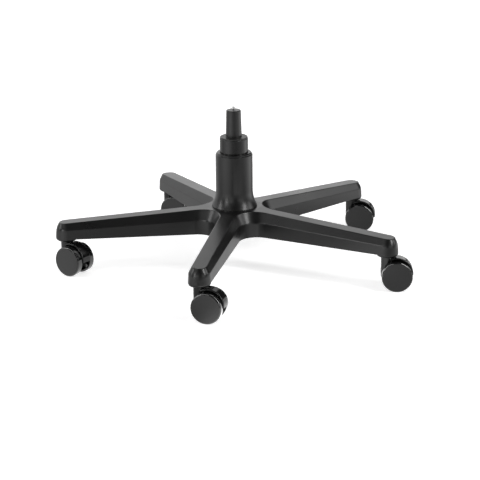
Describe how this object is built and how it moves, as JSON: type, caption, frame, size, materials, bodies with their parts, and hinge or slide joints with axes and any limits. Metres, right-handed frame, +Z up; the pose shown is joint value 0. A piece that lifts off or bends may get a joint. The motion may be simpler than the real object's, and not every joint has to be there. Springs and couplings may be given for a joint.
{
  "type": "office chair five star base",
  "caption": "Five-arm black nylon chair base on twin-wheel casters, with a flared sleeve, steel stand tube and gas spring column that lifts and turns a seat.",
  "frame": {"origin": "on the floor that the wheels stand on, at the column's axis", "axes": "+Z up along the column, -Y along the first arm"},
  "size_m": [0.6362, 0.5956, 0.2904],
  "materials": {
    "star_nylon": "fine grained moulding, semi-gloss",
    "sleeve_plastic": "fine grained moulding, satin",
    "tube_paint": "black powder coat, satin",
    "bush_plastic": "plain moulded acetal",
    "bearing_steel": "oiled turned steel",
    "rod_steel": "ground and hardened",
    "spindle_paint": "black phosphated steel, satin",
    "bumper_rubber": "moulded rubber",
    "stem_steel": "zinc plated",
    "hood_plastic": "polished moulding",
    "wheel_nylon": "matt face, smooth tread"
  },
  "bodies": {
    "root": {"star_base": "star_nylon", "column_sleeve": "sleeve_plastic", "stand_tube": "tube_paint", "guide_bush": "bush_plastic", "base_plate": "bearing_steel", "lower_race": "bearing_steel", "caster_stem_1": "stem_steel", "caster_stem_2": "stem_steel", "caster_stem_3": "stem_steel", "caster_stem_4": "stem_steel", "caster_stem_5": "stem_steel", "grip_ring_1": "stem_steel", "grip_ring_2": "stem_steel", "grip_ring_3": "stem_steel", "grip_ring_4": "stem_steel", "grip_ring_5": "stem_steel"},
    "spindle": {"piston_rod": "rod_steel", "piston": "bush_plastic", "upper_race": "bearing_steel", "bearing_balls": "bearing_steel", "ball_cage": "bush_plastic", "bumper": "bumper_rubber", "rod_clip": "bearing_steel"},
    "lift": {"gas_cylinder": "spindle_paint", "rod_guide": "bush_plastic"},
    "valve": {"valve_pin": "rod_steel"},
    "caster_1": {"caster_body_1": "hood_plastic", "wheel_axle_1": "stem_steel"},
    "wheel_left_1": {"wheel_left_1": "wheel_nylon"},
    "wheel_right_1": {"wheel_right_1": "wheel_nylon"},
    "caster_2": {"caster_body_2": "hood_plastic", "wheel_axle_2": "stem_steel"},
    "wheel_left_2": {"wheel_left_2": "wheel_nylon"},
    "wheel_right_2": {"wheel_right_2": "wheel_nylon"},
    "caster_3": {"caster_body_3": "hood_plastic", "wheel_axle_3": "stem_steel"},
    "wheel_left_3": {"wheel_left_3": "wheel_nylon"},
    "wheel_right_3": {"wheel_right_3": "wheel_nylon"},
    "caster_4": {"caster_body_4": "hood_plastic", "wheel_axle_4": "stem_steel"},
    "wheel_left_4": {"wheel_left_4": "wheel_nylon"},
    "wheel_right_4": {"wheel_right_4": "wheel_nylon"},
    "caster_5": {"caster_body_5": "hood_plastic", "wheel_axle_5": "stem_steel"},
    "wheel_left_5": {"wheel_left_5": "wheel_nylon"},
    "wheel_right_5": {"wheel_right_5": "wheel_nylon"}
  },
  "joints": [
    {"name": "column_swivel", "type": "hinge", "parent": "root", "child": "spindle", "pos_m": [0, 0, 0.07], "axis": [0, 0, 1], "continuous": true},
    {"name": "seat_lift", "type": "slide", "parent": "spindle", "child": "lift", "axis": [0, 0, 1], "range_m": [0, 0.1]},
    {"name": "valve_press", "type": "slide", "parent": "lift", "child": "valve", "axis": [0, 0, -1], "range_m": [0, 0.003], "stiffness_N_per_m": 2000, "springref_m": -0.01},
    {"name": "caster_swivel_1", "type": "hinge", "parent": "root", "child": "caster_1", "pos_m": [0, -0.3, 0.06], "axis": [0, 0, 1], "continuous": true},
    {"name": "wheel_spin_left_1", "type": "hinge", "parent": "caster_1", "child": "wheel_left_1", "pos_m": [0.01642, -0.30161, 0.0267], "axis": [0.0976, 0.9952, 0], "continuous": true},
    {"name": "wheel_spin_right_1", "type": "hinge", "parent": "caster_1", "child": "wheel_right_1", "pos_m": [0.01642, -0.30161, 0.0267], "axis": [0.0976, 0.9952, 0], "continuous": true},
    {"name": "caster_swivel_2", "type": "hinge", "parent": "root", "child": "caster_2", "pos_m": [0.28532, -0.0927, 0.06], "axis": [0, 0, 1], "continuous": true},
    {"name": "wheel_spin_left_2", "type": "hinge", "parent": "caster_2", "child": "wheel_left_2", "pos_m": [0.30152, -0.08961, 0.0267], "axis": [-0.1874, 0.9823, 0], "continuous": true},
    {"name": "wheel_spin_right_2", "type": "hinge", "parent": "caster_2", "child": "wheel_right_2", "pos_m": [0.30152, -0.08961, 0.0267], "axis": [-0.1874, 0.9823, 0], "continuous": true},
    {"name": "caster_swivel_3", "type": "hinge", "parent": "root", "child": "caster_3", "pos_m": [0.17634, 0.24271, 0.06], "axis": [0, 0, 1], "continuous": true},
    {"name": "wheel_spin_left_3", "type": "hinge", "parent": "caster_3", "child": "wheel_left_3", "pos_m": [0.19279, 0.24394, 0.0267], "axis": [-0.075, 0.9972, 0], "continuous": true},
    {"name": "wheel_spin_right_3", "type": "hinge", "parent": "caster_3", "child": "wheel_right_3", "pos_m": [0.19279, 0.24394, 0.0267], "axis": [-0.075, 0.9972, 0], "continuous": true},
    {"name": "caster_swivel_4", "type": "hinge", "parent": "root", "child": "caster_4", "pos_m": [-0.17634, 0.24271, 0.06], "axis": [0, 0, 1], "continuous": true},
    {"name": "wheel_spin_left_4", "type": "hinge", "parent": "caster_4", "child": "wheel_left_4", "pos_m": [-0.16009, 0.23984, 0.0267], "axis": [0.1736, 0.9848, 0], "continuous": true},
    {"name": "wheel_spin_right_4", "type": "hinge", "parent": "caster_4", "child": "wheel_right_4", "pos_m": [-0.16009, 0.23984, 0.0267], "axis": [0.1736, 0.9848, 0], "continuous": true},
    {"name": "caster_swivel_5", "type": "hinge", "parent": "root", "child": "caster_5", "pos_m": [-0.28532, -0.0927, 0.06], "axis": [0, 0, 1], "continuous": true},
    {"name": "wheel_spin_left_5", "type": "hinge", "parent": "caster_5", "child": "wheel_left_5", "pos_m": [-0.27034, -0.09963, 0.0267], "axis": [0.4195, 0.9078, 0], "continuous": true},
    {"name": "wheel_spin_right_5", "type": "hinge", "parent": "caster_5", "child": "wheel_right_5", "pos_m": [-0.27034, -0.09963, 0.0267], "axis": [0.4195, 0.9078, 0], "continuous": true}
  ]
}
